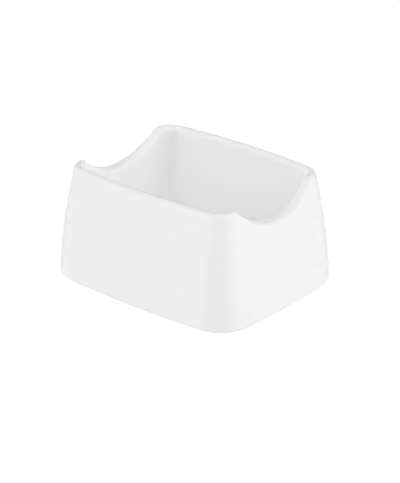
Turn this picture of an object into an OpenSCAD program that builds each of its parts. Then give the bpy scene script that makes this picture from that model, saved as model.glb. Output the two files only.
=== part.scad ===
// Sugar packet holder.
// One glazed ceramic casting: an open tray with leaning, ribbed walls, a rounded rim
// and a finger scoop in each short end. Every surface is one upright profile carried
// round one plan outline, so the wall, the rim, the floor and the foot ring follow it.

/* [Plan outline at the foot] */
// Length over the foot, along X
foot_length = 107; // [95:0.5:125]
// Width over the foot, along Y
foot_width = 87; // [80:0.5:105]
// Radius of the four upright corners at the foot
corner_radius = 16.6; // [15:0.1:22]
// Rise of the long sides' arc over the full length
long_bow = 2.8; // [1.5:0.1:6]
// Rise of the short ends' arc over the full width
end_bow = 2.8; // [1:0.1:4]

/* [Walls] */
// Height of the rim above the table
height = 52.5; // [46:0.5:65]
// How far the walls lean in between the foot and the rim
lean = 7.3; // [4:0.1:8.5]
// Shape of the lean: 1 is straight, more holds the wall upright for longer near the foot
lean_power = 1.5; // [1.2:0.01:2.2]
// How much less the wall leans in the middle of a long side, so that the rim bows more than the foot
long_bulge = 1.2; // [0:0.1:2]
// Thickness of the wall at the rim, which is rounded to a half circle
rim_wall = 3.9; // [3:0.1:4.5]
// How much farther in the nearly upright inner face would lie at the table than at the rim
inner_draft = 0.8; // [0:0.1:1.5]

/* [Ribs] */
// Number of shallow grooves round the outside
rib_count = 7; // [0:1:7]
// Height from one groove to the next
rib_pitch = 7; // [5:0.1:7.2]
// Height of the lowest groove above the table
rib_start = 4.7; // [4.4:0.1:5]
// Depth of a groove below the ribs beside it
rib_depth = 0.12; // [0:0.02:0.8]
// Shape of a groove: 1 is an even wave, more makes it narrower than the rib
groove_sharpness = 1.5; // [1:0.1:3]

/* [Finger scoops] */
// Width of a scoop where its curve would meet the rim
scoop_width = 51.2; // [36:0.1:53]
// Depth of a scoop below the rim
scoop_depth = 10.6; // [6:0.1:16]
// Radius that rounds the scoop into the rim at each horn
horn_radius = 2.5; // [1:0.1:4]

/* [Floor and foot] */
// Thickness of the floor above the table
floor_thickness = 5; // [4:0.1:8]
// Radius between the inner wall and the floor
floor_fillet = 3.6; // [1.5:0.1:4]
// Radius of the outer edge of the foot
foot_radius = 2.3; // [1:0.1:3]
// Width of the flat ring that stands on the table
foot_ring = 5; // [3:0.1:6]
// Height of the shallow recess inside the foot ring
recess_depth = 1.5; // [0.5:0.1:2.5]
// Width of the slope between the foot ring and the recess
recess_slope = 2; // [1:0.1:3]

/* [Hidden] */

// Steps along half of a short end, a corner and half of a long side
end_steps = 10;
corner_steps = 7;
long_steps = 3;
// Steps round the rim, from one groove to the next, and on the plainer surfaces
rim_steps = 8;
groove_steps = 5;
edge_steps = 4;
inner_steps = 7;
// Share of the height above which the rings follow the rim instead of lying level
level_share = 0.55;

half_length = foot_length / 2;
half_width = foot_width / 2;
rim_radius = rim_wall / 2;

// Radii and centres of the big arcs that form the long sides and the short ends
long_radius = (half_length * half_length + long_bow * long_bow) / (2 * long_bow);
end_radius = (half_width * half_width + end_bow * end_bow) / (2 * end_bow);
long_centre = [0, half_width - long_radius];
end_centre = [half_length - end_radius, 0];

// The corner arc touches both big arcs from inside, so its centre is where two circles cross
function circles_cross(p, rp, q, rq) =
    let (gap = norm(q - p), along = (q - p) / gap,
         reach = (rp * rp - rq * rq + gap * gap) / (2 * gap),
         side = sqrt(rp * rp - reach * reach))
    p + reach * along + side * [-along[1], along[0]];
corner_centre = circles_cross(end_centre, end_radius - corner_radius,
                              long_centre, long_radius - corner_radius);

// Angles at which the short end gives way to the corner, and the corner to the long side
end_angle = atan2(corner_centre[1], corner_centre[0] - end_centre[0]);
long_angle = atan2(corner_centre[1] - long_centre[1], corner_centre[0]);

// A station is a point of the outline with its outward direction: [x, y, out_x, out_y]
function station(centre, radius, angle) =
    let (out = [cos(angle), sin(angle)], place = centre + radius * out)
    [place[0], place[1], out[0], out[1]];
function flip_x(s) = [-s[0], s[1], -s[2], s[3]];
function turn_half(s) = [-s[0], -s[1], -s[2], -s[3]];

// A quarter of the outline, with its steps closest together where the scoop has its horn
quarter = [
    for (k = [0 : end_steps - 1])
        station(end_centre, end_radius, end_angle * sin(90 * k / end_steps)),
    for (k = [0 : corner_steps - 1])
        station(corner_centre, corner_radius,
                end_angle + (long_angle - end_angle) * k / corner_steps),
    for (k = [0 : long_steps])
        station(long_centre, long_radius, long_angle + (90 - long_angle) * k / long_steps)
];
quarter_last = len(quarter) - 1;
half = [
    for (k = [0 : quarter_last]) quarter[k],
    for (k = [1 : quarter_last]) flip_x(quarter[quarter_last - k])
];
outline = [
    for (k = [0 : len(half) - 2]) half[k],
    for (k = [0 : len(half) - 2]) turn_half(half[k])
];
stations = len(outline);

// Height of the rim at a distance y from the middle of a short end
scoop_radius = (scoop_width * scoop_width / 4 + scoop_depth * scoop_depth) / (2 * scoop_depth);
scoop_centre = height - scoop_depth + scoop_radius;
horn_centre = height - horn_radius;
horn_place = sqrt(pow(scoop_radius + horn_radius, 2) - pow(scoop_centre - horn_centre, 2));
horn_start = horn_place * scoop_radius / (scoop_radius + horn_radius);
function rim_height(y) =
    y < horn_start ? scoop_centre - sqrt(scoop_radius * scoop_radius - y * y) :
    y < horn_place ? horn_centre + sqrt(pow(horn_radius, 2) - pow(horn_place - y, 2)) :
    height;

// Share of the full lean at a distance x from the middle of a long side
function lean_share(x) = 1 - long_bulge / lean * pow(cos(90 * x / half_length), 2);

// How far in the outside lies at height z, without the grooves and with them
function lean_in(z, share) =
    share * lean * pow(max(z - foot_radius, 0) / (height - foot_radius), lean_power);
rib_end = rib_start + (rib_count - 0.5) * rib_pitch;
function groove(z) =
    let (wave = (1 + cos(360 * (z - rib_start) / rib_pitch)) / 2,
         fade = max(0, min(1, (z - foot_radius) / (rib_start - foot_radius))))
    z > rib_end ? 0 : rib_depth * fade * pow(wave, groove_sharpness);
function outside(z, share) = lean_in(z, share) + groove(z);

// How far in the inner face lies at height z
function inside(z, share) = share * lean + rim_wall + inner_draft * (1 - z / height);

// Above level_z a height is scaled so that the wall ends at its own station's rim
level_z = level_share * height;
wall_top = height - rim_radius;
function follow_rim(z, drop) =
    z < level_z ? z : z - drop * (z - level_z) / (wall_top - level_z);

// Heights at which the outside has a ring: the rib rings keep step with the grooves
rib_rings = [
    for (k = [-1 : groove_steps * (rib_count - 1) + floor(groove_steps / 2)])
        rib_start + k * rib_pitch / groove_steps
];
// The floor's radius is held small enough to leave a round corner on the floor
corner_left = corner_radius - inside(0, 1);
fillet = min(floor_fillet, 0.8 * corner_left);
fillet_top = floor_thickness + fillet;
flat_in = foot_radius + foot_ring;

// One station's profile, from the recess under the floor, up the outside, over the rim
// and down the inside to the floor: each entry is [inset, z]. The rim there lies drop lower
function profile(drop, share) =
    let (top = wall_top - drop, out = outside(top, share), across = inside(top, share) - out,
         fillet_in = inside(fillet_top, share))
    [
        for (k = [0 : edge_steps])
            let (rise = 1 - k / edge_steps)
            [flat_in + recess_slope * rise, recess_depth * (1 - cos(180 * rise)) / 2],
        for (k = [0 : edge_steps])
            let (turn = 90 * k / edge_steps)
            [foot_radius * (1 - sin(turn)), foot_radius * (1 - cos(turn))],
        for (z = rib_rings)
            let (up = follow_rim(z, drop))
            [outside(up, share), up],
        for (k = [0 : rim_steps])
            let (turn = 180 * k / rim_steps)
            [out + across * (1 - cos(turn)) / 2, top + rim_radius * sin(turn)],
        for (k = [1 : inner_steps])
            let (up = follow_rim(wall_top + (fillet_top - wall_top) * k / inner_steps, drop))
            [inside(up, share), up],
        for (k = [1 : edge_steps])
            let (turn = 90 * k / edge_steps)
            [fillet_in + fillet * (1 - cos(turn)), fillet_top - fillet * sin(turn)]
    ];

// The skin of the casting: a quad between each pair of stations and rings, and two flat ends
module holder() {
    profiles = [
        for (s = outline)
            let (rim_y = abs(s[1] - lean * s[3]))
            profile(height - rim_height(rim_y), lean_share(s[0]))
    ];
    rings = len(profiles[0]);
    points = [
        for (r = [0 : rings - 1])
            for (i = [0 : stations - 1])
                let (s = outline[i], p = profiles[i][r])
                [s[0] - p[0] * s[2], s[1] - p[0] * s[3], p[1]]
    ];
    sides = [
        for (r = [0 : rings - 2])
            for (i = [0 : stations - 1])
                let (next = (i + 1) % stations, a = r * stations, b = a + stations)
                each [[a + i, b + i, b + next], [a + i, b + next, a + next]]
    ];
    under = [for (i = [0 : stations - 1]) i];
    floor_face = [for (i = [stations - 1 : -1 : 0]) (rings - 1) * stations + i];
    color("white")
        polyhedron(points = points, faces = concat([under], sides, [floor_face]));
}

holder();
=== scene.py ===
"""Looks of a sugar packet holder: one white glazed ceramic tray on a pale floor."""
import math

import bpy
import numpy as np
from mathutils import Matrix, Vector


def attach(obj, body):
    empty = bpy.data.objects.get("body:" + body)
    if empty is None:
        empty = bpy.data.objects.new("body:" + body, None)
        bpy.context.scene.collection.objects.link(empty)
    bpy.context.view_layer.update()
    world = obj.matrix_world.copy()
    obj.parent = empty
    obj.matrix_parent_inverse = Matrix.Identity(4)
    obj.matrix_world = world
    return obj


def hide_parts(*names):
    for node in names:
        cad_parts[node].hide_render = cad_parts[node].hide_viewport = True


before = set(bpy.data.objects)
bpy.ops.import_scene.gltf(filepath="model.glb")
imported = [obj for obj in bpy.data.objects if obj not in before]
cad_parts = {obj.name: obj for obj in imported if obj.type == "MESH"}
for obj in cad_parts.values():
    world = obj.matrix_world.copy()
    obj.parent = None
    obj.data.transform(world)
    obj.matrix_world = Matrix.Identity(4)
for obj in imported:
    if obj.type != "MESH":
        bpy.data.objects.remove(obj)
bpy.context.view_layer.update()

MM = 0.001

# Plan outline at the foot: its length and width, the radius of the upright corners, and the rise of the
# arcs along the long sides and the short ends
FOOT_LENGTH = 107 * MM
FOOT_WIDTH = 87 * MM
CORNER_RADIUS = 16.6 * MM
LONG_BOW = 2.8 * MM
END_BOW = 2.8 * MM

# Walls: their height, how far and how they lean in, how much less in the middle of a long side, their
# thickness at the rim, and how much farther in the inner face would lie at the table
HEIGHT = 52.5 * MM
LEAN = 7.3 * MM
LEAN_POWER = 1.5
LONG_BULGE = 1.2 * MM
RIM_WALL = 3.9 * MM
INNER_DRAFT = 0.8 * MM

# Grooves round the outside, which end half a pitch above the highest one
RIB_COUNT = 7
RIB_PITCH = 7 * MM
RIB_START = 4.7 * MM
RIB_END = RIB_START + (RIB_COUNT - 0.5) * RIB_PITCH
RIB_DEPTH = 0.12 * MM
GROOVE_SHARPNESS = 1.5

# Finger scoops in the short ends
SCOOP_WIDTH = 51.2 * MM
SCOOP_DEPTH = 10.6 * MM
HORN_RADIUS = 2.5 * MM

# Floor, foot ring and the recess inside it
FLOOR_THICKNESS = 5 * MM
FLOOR_FILLET = 3.6 * MM
FOOT_RADIUS = 2.3 * MM
FOOT_RING = 5 * MM
RECESS_DEPTH = 1.5 * MM
RECESS_SLOPE = 2 * MM

# Steps of the fine mesh: along half of an end, a corner and half of a long side, and up the profile
END_STEPS = 40
CORNER_STEPS = 24
LONG_STEPS = 24
WALL_STEPS = 150
RIM_STEPS = 24
INNER_STEPS = 50
EDGE_STEPS = 12

# Share of the height above which the rings follow the rim instead of lying level
LEVEL_SHARE = 0.55

# The photograph's view: direction, roll and distance, the point it looks at, and the lens
VIEW_AZIMUTH = 39.64
VIEW_ELEVATION = 24.85
VIEW_ROLL = 0.38
VIEW_DISTANCE = 950.1 * MM
VIEW_TARGET = Vector((15.43, -14.69, 26.25)) * MM
LENS_MM = 161.7
SENSOR_MM = 36
CLIP_NEAR = 10 * MM
CLIP_FAR = 20000 * MM

# The glaze's gloss, and how much its roughness varies. Of each noise, the size is the length of its
# waves, and the detail is the number of finer waves that it adds to them
GLAZE_IOR = 1.55
GLAZE_ROUGHNESS = 0.1
GLOSS_SIZE = 12 * MM
GLOSS_DETAIL = 1
GLOSS_VARIATION = 0.05

# The glaze's tone, its clouds and mottling, and the painted shade and painted light laid over it
BASE_TONE = 0.91
CLOUD_SIZE = 38 * MM
CLOUD_DETAIL = 2
CLOUD_TONE = 0.014
MOTTLE_SIZE = 2.6 * MM
MOTTLE_DETAIL = 0
MOTTLE_TONE = 0.006
# Painted shade: the glaze is darker at the bottom of the outer grooves
GROOVE_PAINTED_SHADE = -0.002
# Painted shade: the glaze is darker on the fillet round the inner floor
FILLET_PAINTED_SHADE = -0.012
# Painted light: the glaze is paler in the upright inner corners
CORNER_PAINTED_LIGHT = 0.03
# Painted light: the glaze is paler where the rim faces upward
RIM_PAINTED_LIGHT = 0.008

# Where those changes lie: round the floor by the height, in the corners by the product of the normal's
# two level parts, and on the rim by its upward part and the height. OUT_EDGE is half the width of the
# step from the inside to the outside
# Height of the painted shade on the fillet round the inner floor
FILLET_SHADE_HEIGHT = FLOOR_THICKNESS + FLOOR_FILLET / 3
CORNER_TURN = (0.1, 0.45)
RIM_FACING = (0.4, 0.95)
RIM_ABOVE = 30 * MM
OUT_EDGE = 4 * MM

# The glaze's faint relief: slow waves and fine dimples
WAVE_SIZE = 17 * MM
WAVE_DETAIL = 1
WAVE_DEPTH = 0.03 * MM
DIMPLE_SIZE = 2 * MM
DIMPLE_DETAIL = 0
DIMPLE_DEPTH = 0.0015 * MM

# The bare foot ring: the heights between which the glaze begins, and the body's colour and roughness
BARE_EDGE = (0.15 * MM, 0.4 * MM)
BARE_COLOR = (0.83, 0.81, 0.77)
BARE_ROUGHNESS = 0.62

# The floor: how far it reaches from the middle, what it sends back to the object, and what the camera
# sees of it, an even glow with a faint part that takes the object's shadow
FLOOR_REACH = 4000 * MM
FLOOR_BOUNCE = 0.8
FLOOR_GLOW = 0.93
FLOOR_SHADE = 0.12

# In the studio below, a side is an azimuth in degrees from +X towards +Y, and a height is the sine of an
# elevation. An edge is the pair of cosines of the angle off a side, or the pair of heights, between
# which a level changes. A bottom and a top are such edges in height

# Soft light that falls on the object: wide and high in front, low at the back, and low from the left,
# where the gap round the camera interrupts it
FRONT_LIGHT = 5.63
FRONT_SIDE = -33.1
FRONT_EDGE = (-0.33, 0.17)
FRONT_BOTTOM = (0.41, 0.57)
FRONT_TOP = (0.58, 0.74)
BACK_LIGHT = 2.41
BACK_SIDE = 85.5
BACK_EDGE = (0.28, 0.99)
BACK_TOP = (0.19, 0.49)
LEFT_LIGHT = 3.04
LEFT_SIDE = -133.6
LEFT_BOTTOM = (0.03, 0.23)
LEFT_TOP = (0.42, 0.62)
LEFT_GAP_SIDE = -75.9
LEFT_GAP_EDGE = (0.65, 0.75)

# What the glaze mirrors: a pale studio between a brighter table and a dimmer ceiling, a little brighter
# on the left
PALE_LEVEL = 0.72
TABLE_LEVEL = 1.2
TABLE_EDGE = (-0.61, -0.24)
CEILING_LEVEL = 0.49
CEILING_EDGE = (0.3, 0.7)
LEFT_SHARE = 1.04
RIGHT_SIDE = 34
RIGHT_EDGE = (-0.3, 0.3)

# In it, a dark gap round the camera, and a dim back, where a share of the level is left low down and
# none higher up. Both end above the table
DARK_BOTTOM = (-0.62, -0.45)
GAP_SIDE = -56
GAP_EDGE = (0.719, 0.828)
GAP_TOP = (0.49, 0.89)
DIM_SIDE = 116.3
DIM_EDGE = (0.4, 1)
DIM_TOP = (0.59, 0.79)
DIM_SHARE = 0.8
DIM_SHARE_TOP = (0.15, 0.45)


def circles_cross(p, rp, q, rq):
    """The point to the left of the line p-q where two circles cross."""
    gap = np.linalg.norm(q - p)
    along = (q - p) / gap
    reach = (rp ** 2 - rq ** 2 + gap ** 2) / (2 * gap)
    side = math.sqrt(rp ** 2 - reach ** 2)
    return p + reach * along + side * np.array([-along[1], along[0]])


def arc(centre, radius, angles):
    """Stations along an arc: x, y and the outward direction."""
    out = np.column_stack([np.cos(angles), np.sin(angles)])
    return np.hstack([centre + radius * out, out])


def plan_outline():
    """Stations round the foot: tangent arcs for the ends, the corners and the long sides."""
    half_length, half_width = FOOT_LENGTH / 2, FOOT_WIDTH / 2
    long_radius = (half_length ** 2 + LONG_BOW ** 2) / (2 * LONG_BOW)
    end_radius = (half_width ** 2 + END_BOW ** 2) / (2 * END_BOW)
    long_centre = np.array([0, half_width - long_radius])
    end_centre = np.array([half_length - end_radius, 0])
    corner = circles_cross(end_centre, end_radius - CORNER_RADIUS,
                           long_centre, long_radius - CORNER_RADIUS)
    end_angle = math.atan2(corner[1], corner[0] - end_centre[0])
    long_angle = math.atan2(corner[1] - long_centre[1], corner[0])
    end_turns = end_angle * np.sin(np.linspace(0, math.pi / 2, END_STEPS + 1))
    corner_turns = np.linspace(end_angle, long_angle, CORNER_STEPS + 1)
    long_turns = np.linspace(long_angle, math.pi / 2, LONG_STEPS + 1)
    quarter = np.vstack([
        arc(end_centre, end_radius, end_turns[:-1]),
        arc(corner, CORNER_RADIUS, corner_turns[:-1]),
        arc(long_centre, long_radius, long_turns),
    ])
    half = np.vstack([quarter, (quarter * [-1, 1, -1, 1])[-2::-1]])[:-1]
    return np.vstack([half, -half])


def rim_height(y):
    """Height of the rim at a distance y from the middle of a short end."""
    radius = (SCOOP_WIDTH ** 2 / 4 + SCOOP_DEPTH ** 2) / (2 * SCOOP_DEPTH)
    centre = HEIGHT - SCOOP_DEPTH + radius
    horn_centre = HEIGHT - HORN_RADIUS
    horn_place = math.sqrt((radius + HORN_RADIUS) ** 2 - (centre - horn_centre) ** 2)
    horn_start = horn_place * radius / (radius + HORN_RADIUS)
    scoop = centre - np.sqrt(np.maximum(radius ** 2 - y ** 2, 0))
    horn = horn_centre + np.sqrt(np.maximum(HORN_RADIUS ** 2 - (horn_place - y) ** 2, 0))
    return np.where(y < horn_start, scoop, np.where(y < horn_place, horn, HEIGHT))


def lean_share(x):
    """Share of the full lean at a distance x from the middle of a long side."""
    return 1 - LONG_BULGE / LEAN * np.cos(math.pi * x / FOOT_LENGTH) ** 2


def lean_in(z, share):
    """How far in the wall leans at height z."""
    return share * LEAN * (np.maximum(z - FOOT_RADIUS, 0) / (HEIGHT - FOOT_RADIUS)) ** LEAN_POWER


def groove(z):
    """Depth of the grooves at height z."""
    wave = (1 + np.cos(2 * math.pi * (z - RIB_START) / RIB_PITCH)) / 2
    rise = np.clip((z - FOOT_RADIUS) / (RIB_START - FOOT_RADIUS), 0, 1)
    return np.where(z > RIB_END, 0, RIB_DEPTH * rise * wave ** GROOVE_SHARPNESS)


def inside(z, share):
    """How far in the inner face lies at height z."""
    return share * LEAN + RIM_WALL + INNER_DRAFT * (1 - z / HEIGHT)


def profile(drop, share):
    """Inset and height of every ring, from under the floor over the rim to the inner floor, where the
    rim lies drop lower than the level one. drop and share have one entry for each station."""
    level = LEVEL_SHARE * HEIGHT
    rim_radius = RIM_WALL / 2
    wall_top = HEIGHT - rim_radius
    fillet_top = FLOOR_THICKNESS + FLOOR_FILLET

    def follow_rim(z):
        return np.where(z < level, z, z - drop * (z - level) / (wall_top - level))

    def ring(inset, z):
        return np.broadcast_to(inset, drop.shape), np.broadcast_to(z, drop.shape)

    rings = []
    for rise in np.linspace(1, 0, EDGE_STEPS + 1):
        rings.append(ring(FOOT_RADIUS + FOOT_RING + RECESS_SLOPE * rise,
                          RECESS_DEPTH * (1 - math.cos(math.pi * rise)) / 2))
    for turn in np.linspace(0, math.pi / 2, EDGE_STEPS + 1):
        rings.append(ring(FOOT_RADIUS * (1 - math.sin(turn)), FOOT_RADIUS * (1 - math.cos(turn))))
    for z in np.linspace(FOOT_RADIUS, wall_top, WALL_STEPS + 1)[1:-1]:
        up = follow_rim(z)
        rings.append(ring(lean_in(up, share) + groove(up), up))
    top = wall_top - drop
    out = lean_in(top, share) + groove(top)
    across = inside(top, share) - out
    for turn in np.linspace(0, math.pi, RIM_STEPS + 1):
        rings.append(ring(out + across * (1 - math.cos(turn)) / 2, top + rim_radius * math.sin(turn)))
    for z in np.linspace(wall_top, fillet_top, INNER_STEPS + 1)[1:]:
        up = follow_rim(z)
        rings.append(ring(inside(up, share), up))
    for turn in np.linspace(0, math.pi / 2, EDGE_STEPS + 1)[1:]:
        rings.append(ring(inside(fillet_top, share) + FLOOR_FILLET * (1 - math.cos(turn)),
                          fillet_top - FLOOR_FILLET * math.sin(turn)))
    return np.array(rings)


def build_holder():
    """The casting as one closed smooth mesh."""
    x, y, out_x, out_y = plan_outline().T
    drop = HEIGHT - rim_height(np.abs(y - LEAN * out_y))
    rings = profile(drop, lean_share(x))
    count, stations = len(rings), len(x)
    inset, z = rings[:, 0], rings[:, 1]
    points = np.stack([x - inset * out_x, y - inset * out_y, z], axis=-1)
    ring_start = np.arange(count - 1)[:, None] * stations
    here = np.arange(stations)
    after = (here + 1) % stations
    quads = np.stack([ring_start + here, ring_start + after,
                      ring_start + stations + after, ring_start + stations + here], axis=-1)
    faces = quads.reshape(-1, 4).tolist()
    faces.append(here[::-1].tolist())
    faces.append((here + (count - 1) * stations).tolist())
    mesh = bpy.data.meshes.new("holder_skin")
    mesh.from_pydata(points.reshape(-1, 3).tolist(), [], faces)
    mesh.shade_smooth()
    mesh.update()
    piece = bpy.data.objects.new("holder_skin", mesh)
    bpy.context.scene.collection.objects.link(piece)
    return piece


def maths(tree, operation, *values):
    """A Math node on numbers and sockets; returns its output socket."""
    node = tree.nodes.new("ShaderNodeMath")
    node.operation = operation
    for socket, value in zip(node.inputs, values):
        if isinstance(value, (int, float)):
            socket.default_value = value
        else:
            tree.links.new(value, socket)
    return node.outputs[0]


def level_part(tree, vector):
    """A vector without its upward part."""
    node = tree.nodes.new("ShaderNodeVectorMath")
    node.operation = "MULTIPLY"
    node.inputs[1].default_value = (1, 1, 0)
    tree.links.new(vector, node.inputs[0])
    return node.outputs["Vector"]


def part_of(tree, vector, axis):
    """One component of a vector socket."""
    node = tree.nodes.new("ShaderNodeSeparateXYZ")
    tree.links.new(vector, node.inputs[0])
    return node.outputs[axis]


def smooth_step(tree, value, low, high):
    """0 below low, 1 above high and a smooth rise between them."""
    node = tree.nodes.new("ShaderNodeMapRange")
    node.interpolation_type = "SMOOTHSTEP"
    tree.links.new(value, node.inputs["Value"])
    node.inputs["From Min"].default_value = low
    node.inputs["From Max"].default_value = high
    return node.outputs["Result"]


def band(tree, value, bottom, top):
    """1 between the two edges bottom and top, and 0 below and above them."""
    rise = smooth_step(tree, value, *bottom)
    return maths(tree, "MULTIPLY", rise, maths(tree, "SUBTRACT", 1, smooth_step(tree, value, *top)))


def fade(tree, start, end, share):
    """From start, where share is 0, to end, where it is 1."""
    return maths(tree, "MULTIPLY_ADD", share, maths(tree, "SUBTRACT", end, start), start)


def half_raised(tree, cosine):
    """A cosine moved into the range from 0 to 1."""
    return maths(tree, "MULTIPLY_ADD", cosine, 0.5, 0.5)


def noise(tree, place, size, detail):
    """Soft noise between 0 and 1 whose waves are about size long."""
    node = tree.nodes.new("ShaderNodeTexNoise")
    tree.links.new(place, node.inputs["Vector"])
    node.inputs["Scale"].default_value = 1 / size
    node.inputs["Detail"].default_value = detail
    return node.outputs["Fac"]


def varied(tree, tone, place, size, detail, amount):
    """tone, a little lighter and darker by soft noise whose waves are about size long."""
    off_middle = maths(tree, "SUBTRACT", noise(tree, place, size, detail), 0.5)
    return maths(tree, "MULTIPLY_ADD", off_middle, amount, tone)


def changed(tree, tone, amount, share, limit):
    """tone, changed by amount where share and limit are both 1."""
    return maths(tree, "MULTIPLY_ADD", maths(tree, "MULTIPLY", share, limit), amount, tone)


def facing_out(tree, place, normal):
    """1 on the outside of the walls and 0 on the inside, by whether they face away from the middle."""
    out = tree.nodes.new("ShaderNodeVectorMath")
    out.operation = "DOT_PRODUCT"
    tree.links.new(level_part(tree, place), out.inputs[0])
    tree.links.new(normal, out.inputs[1])
    return smooth_step(tree, out.outputs["Value"], -OUT_EDGE, OUT_EDGE)


def groove_wave(tree, height):
    """1 at the bottom of a groove and 0 on the crown of a rib, up to the highest groove."""
    above = maths(tree, "SUBTRACT", height, RIB_START)
    turn = maths(tree, "MULTIPLY", above, 2 * math.pi / RIB_PITCH)
    wave = half_raised(tree, maths(tree, "COSINE", turn))
    ribbed = maths(tree, "LESS_THAN", height, RIB_END)
    return maths(tree, "MULTIPLY", maths(tree, "POWER", wave, GROOVE_SHARPNESS), ribbed)


def fillet_shade_mask(tree, height):
    """1 a third of the way up the fillet round the inner floor, and 0 well above and below it."""
    off = maths(tree, "ABSOLUTE", maths(tree, "SUBTRACT", height, FILLET_SHADE_HEIGHT))
    return maths(tree, "SUBTRACT", 1, smooth_step(tree, off, 0, FLOOR_FILLET))


def corner_turn(tree, normal):
    """1 in the middle of an upright corner, where the normal turns from one wall to the next."""
    turn = maths(tree, "MULTIPLY", part_of(tree, normal, "X"), part_of(tree, normal, "Y"))
    return smooth_step(tree, maths(tree, "ABSOLUTE", turn), *CORNER_TURN)


def glaze_tone_and_painted_light(tree, place, normal, height):
    """Grey level of the glaze: faint clouds and mottling, with painted shade darkening the grooves and
    the fillet round the floor, and painted light brightening the upright inner corners and the
    upward-facing rim."""
    outer = facing_out(tree, place, normal)
    inner = maths(tree, "SUBTRACT", 1, outer)
    tone = varied(tree, BASE_TONE, place, CLOUD_SIZE, CLOUD_DETAIL, CLOUD_TONE)
    tone = varied(tree, tone, place, MOTTLE_SIZE, MOTTLE_DETAIL, MOTTLE_TONE)
    # Painted shade in the grooves and round the inner floor, painted light in the inner corners and on the
    # rim
    tone = changed(tree, tone, GROOVE_PAINTED_SHADE, groove_wave(tree, height), outer)
    tone = changed(tree, tone, FILLET_PAINTED_SHADE, fillet_shade_mask(tree, height), inner)
    tone = changed(tree, tone, CORNER_PAINTED_LIGHT, corner_turn(tree, normal), inner)
    facing_up = smooth_step(tree, part_of(tree, normal, "Z"), *RIM_FACING)
    return changed(tree, tone, RIM_PAINTED_LIGHT, facing_up, maths(tree, "GREATER_THAN", height, RIM_ABOVE))


def glaze_bump(tree, place):
    """Slow waves from firing and the fine dimples of the glaze, as one bumped normal."""
    normal = None
    waves = (WAVE_SIZE, WAVE_DETAIL, WAVE_DEPTH)
    dimples = (DIMPLE_SIZE, DIMPLE_DETAIL, DIMPLE_DEPTH)
    for size, detail, depth in (waves, dimples):
        bump = tree.nodes.new("ShaderNodeBump")
        bump.inputs["Strength"].default_value = 1
        bump.inputs["Distance"].default_value = depth
        tree.links.new(noise(tree, place, size, detail), bump.inputs["Height"])
        if normal:
            tree.links.new(normal, bump.inputs["Normal"])
        normal = bump.outputs["Normal"]
    return normal


def glaze_material():
    """White gloss glaze over a white body, which is bare and matt where the foot ring was wiped clean."""
    material = bpy.data.materials.new("glaze")
    material.use_nodes = True
    tree = material.node_tree
    shader = tree.nodes["Principled BSDF"]
    shader.inputs["IOR"].default_value = GLAZE_IOR
    coordinates = tree.nodes.new("ShaderNodeTexCoord")
    place, normal = coordinates.outputs["Object"], coordinates.outputs["Normal"]
    height = part_of(tree, place, "Z")
    glazed = smooth_step(tree, height, *BARE_EDGE)

    # The glaze's grey, with its painted shade and painted light
    tone = glaze_tone_and_painted_light(tree, place, normal, height)
    color = tree.nodes.new("ShaderNodeCombineColor")
    for channel, bare in zip(color.inputs, BARE_COLOR):
        tree.links.new(fade(tree, bare, tone, glazed), channel)
    tree.links.new(color.outputs["Color"], shader.inputs["Base Color"])

    roughness = varied(tree, GLAZE_ROUGHNESS, place, GLOSS_SIZE, GLOSS_DETAIL, GLOSS_VARIATION)
    tree.links.new(fade(tree, BARE_ROUGHNESS, roughness, glazed), shader.inputs["Roughness"])
    tree.links.new(glaze_bump(tree, place), shader.inputs["Normal"])
    return material


def place_camera():
    """The camera at the photograph's viewpoint."""
    azimuth, elevation, roll = (math.radians(a) for a in (VIEW_AZIMUTH, VIEW_ELEVATION, VIEW_ROLL))
    back = Vector((math.sin(azimuth) * math.cos(elevation),
                   -math.cos(azimuth) * math.cos(elevation),
                   math.sin(elevation)))
    level_right = Vector((math.cos(azimuth), math.sin(azimuth), 0))
    level_up = back.cross(level_right)
    right = level_right * math.cos(roll) + level_up * math.sin(roll)
    up = level_up * math.cos(roll) - level_right * math.sin(roll)
    data = bpy.data.cameras.new("camera")
    data.lens = LENS_MM
    data.sensor_width = SENSOR_MM
    data.clip_start = CLIP_NEAR
    data.clip_end = CLIP_FAR
    camera = bpy.data.objects.new("camera", data)
    turned = Matrix((right, up, back)).transposed().to_4x4()
    camera.matrix_world = Matrix.Translation(VIEW_TARGET + back * VIEW_DISTANCE) @ turned
    bpy.context.scene.collection.objects.link(camera)
    bpy.context.scene.camera = camera


def matt(tree, tone):
    """A diffuse grey surface."""
    node = tree.nodes.new("ShaderNodeBsdfDiffuse")
    node.inputs["Color"].default_value = (tone, tone, tone, 1)
    return node.outputs["BSDF"]


def floor_material():
    """To the camera a white glow that still takes the shadow, and to the object a plain pale floor."""
    material = bpy.data.materials.new("floor")
    material.use_nodes = True
    tree = material.node_tree
    tree.nodes.clear()
    glow = tree.nodes.new("ShaderNodeEmission")
    glow.inputs["Strength"].default_value = FLOOR_GLOW
    shown = tree.nodes.new("ShaderNodeAddShader")
    tree.links.new(matt(tree, FLOOR_SHADE), shown.inputs[0])
    tree.links.new(glow.outputs["Emission"], shown.inputs[1])
    path = tree.nodes.new("ShaderNodeLightPath")
    mix = tree.nodes.new("ShaderNodeMixShader")
    tree.links.new(path.outputs["Is Camera Ray"], mix.inputs["Fac"])
    tree.links.new(matt(tree, FLOOR_BOUNCE), mix.inputs[1])
    tree.links.new(shown.outputs["Shader"], mix.inputs[2])
    output = tree.nodes.new("ShaderNodeOutputMaterial")
    tree.links.new(mix.outputs["Shader"], output.inputs["Surface"])
    return material


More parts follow.
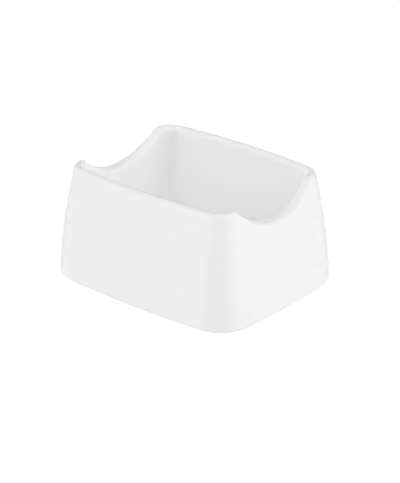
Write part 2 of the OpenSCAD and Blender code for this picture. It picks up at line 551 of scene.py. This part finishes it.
def add_floor():
    """The floor, which the glaze doesn't mirror: the lower half of the mirrored studio stands in."""
    corners = [(x * FLOOR_REACH, y * FLOOR_REACH, 0) for x, y in ((-1, -1), (1, -1), (1, 1), (-1, 1))]
    mesh = bpy.data.meshes.new("floor")
    mesh.from_pydata(corners, [], [(0, 1, 2, 3)])
    mesh.materials.append(floor_material())
    floor = bpy.data.objects.new("floor", mesh)
    floor.visible_glossy = False
    bpy.context.scene.collection.objects.link(floor)


def off_side(tree, flat, side):
    """Cosine of the angle between a level direction and a side."""
    node = tree.nodes.new("ShaderNodeVectorMath")
    node.operation = "DOT_PRODUCT"
    tree.links.new(flat, node.inputs[0])
    node.inputs[1].default_value = (math.cos(math.radians(side)), math.sin(math.radians(side)), 0)
    return node.outputs["Value"]


def toward(tree, flat, side, edge):
    """1 towards a side and 0 away from it, with a smooth change across edge."""
    return smooth_step(tree, off_side(tree, flat, side), *edge)


def falling_light(tree, height, flat):
    """Level of the soft light that falls on the object from a direction."""
    front = maths(tree, "MULTIPLY", toward(tree, flat, FRONT_SIDE, FRONT_EDGE),
                  band(tree, height, FRONT_BOTTOM, FRONT_TOP))
    low = fade(tree, 1, 0, smooth_step(tree, height, *BACK_TOP))
    back = maths(tree, "MULTIPLY", toward(tree, flat, BACK_SIDE, BACK_EDGE), low)
    lit = half_raised(tree, off_side(tree, flat, LEFT_SIDE))
    gap = toward(tree, flat, LEFT_GAP_SIDE, LEFT_GAP_EDGE)
    left = maths(tree, "MULTIPLY", band(tree, height, LEFT_BOTTOM, LEFT_TOP), fade(tree, lit, 0, gap))
    level = maths(tree, "MULTIPLY", front, FRONT_LIGHT)
    level = maths(tree, "MULTIPLY_ADD", back, BACK_LIGHT, level)
    return maths(tree, "MULTIPLY_ADD", left, LEFT_LIGHT, level)


def mirrored_surround(tree, height, flat):
    """Level of what the glaze mirrors in a direction."""
    level = fade(tree, TABLE_LEVEL, PALE_LEVEL, smooth_step(tree, height, *TABLE_EDGE))
    right = toward(tree, flat, RIGHT_SIDE, RIGHT_EDGE)
    level = maths(tree, "MULTIPLY", level, fade(tree, LEFT_SHARE, 1, right))
    level = fade(tree, level, CEILING_LEVEL, smooth_step(tree, height, *CEILING_EDGE))
    dim = maths(tree, "MULTIPLY", toward(tree, flat, DIM_SIDE, DIM_EDGE),
                band(tree, height, DARK_BOTTOM, DIM_TOP))
    dim_share = fade(tree, DIM_SHARE, 0, smooth_step(tree, height, *DIM_SHARE_TOP))
    level = maths(tree, "MULTIPLY", level, fade(tree, 1, dim_share, dim))
    gap = maths(tree, "MULTIPLY", toward(tree, flat, GAP_SIDE, GAP_EDGE),
                band(tree, height, DARK_BOTTOM, GAP_TOP))
    return fade(tree, level, 0, gap)


def light_scene():
    """The world: white to the camera, the mirrored studio to the gloss, and the soft light to the rest."""
    world = bpy.data.worlds.new("studio")
    bpy.context.scene.world = world
    world.use_nodes = True
    tree = world.node_tree
    tree.nodes.clear()
    direction = tree.nodes.new("ShaderNodeTexCoord").outputs["Generated"]
    height = part_of(tree, direction, "Z")
    unit = tree.nodes.new("ShaderNodeVectorMath")
    unit.operation = "NORMALIZE"
    tree.links.new(level_part(tree, direction), unit.inputs[0])
    flat = unit.outputs["Vector"]
    path = tree.nodes.new("ShaderNodeLightPath")
    seen = maths(tree, "MAXIMUM", path.outputs["Is Camera Ray"], path.outputs["Is Transmission Ray"])
    strength = fade(tree, falling_light(tree, height, flat), mirrored_surround(tree, height, flat),
                    path.outputs["Is Glossy Ray"])
    background = tree.nodes.new("ShaderNodeBackground")
    background.inputs["Color"].default_value = (1, 1, 1, 1)
    tree.links.new(fade(tree, strength, 1, seen), background.inputs["Strength"])
    output = tree.nodes.new("ShaderNodeOutputWorld")
    tree.links.new(background.outputs["Background"], output.inputs["Surface"])


place_camera()
holder = build_holder()
holder.data.materials.append(glaze_material())
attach(holder, "root")
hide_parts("holder")
add_floor()
light_scene()
bpy.context.scene.view_settings.view_transform = "Standard"
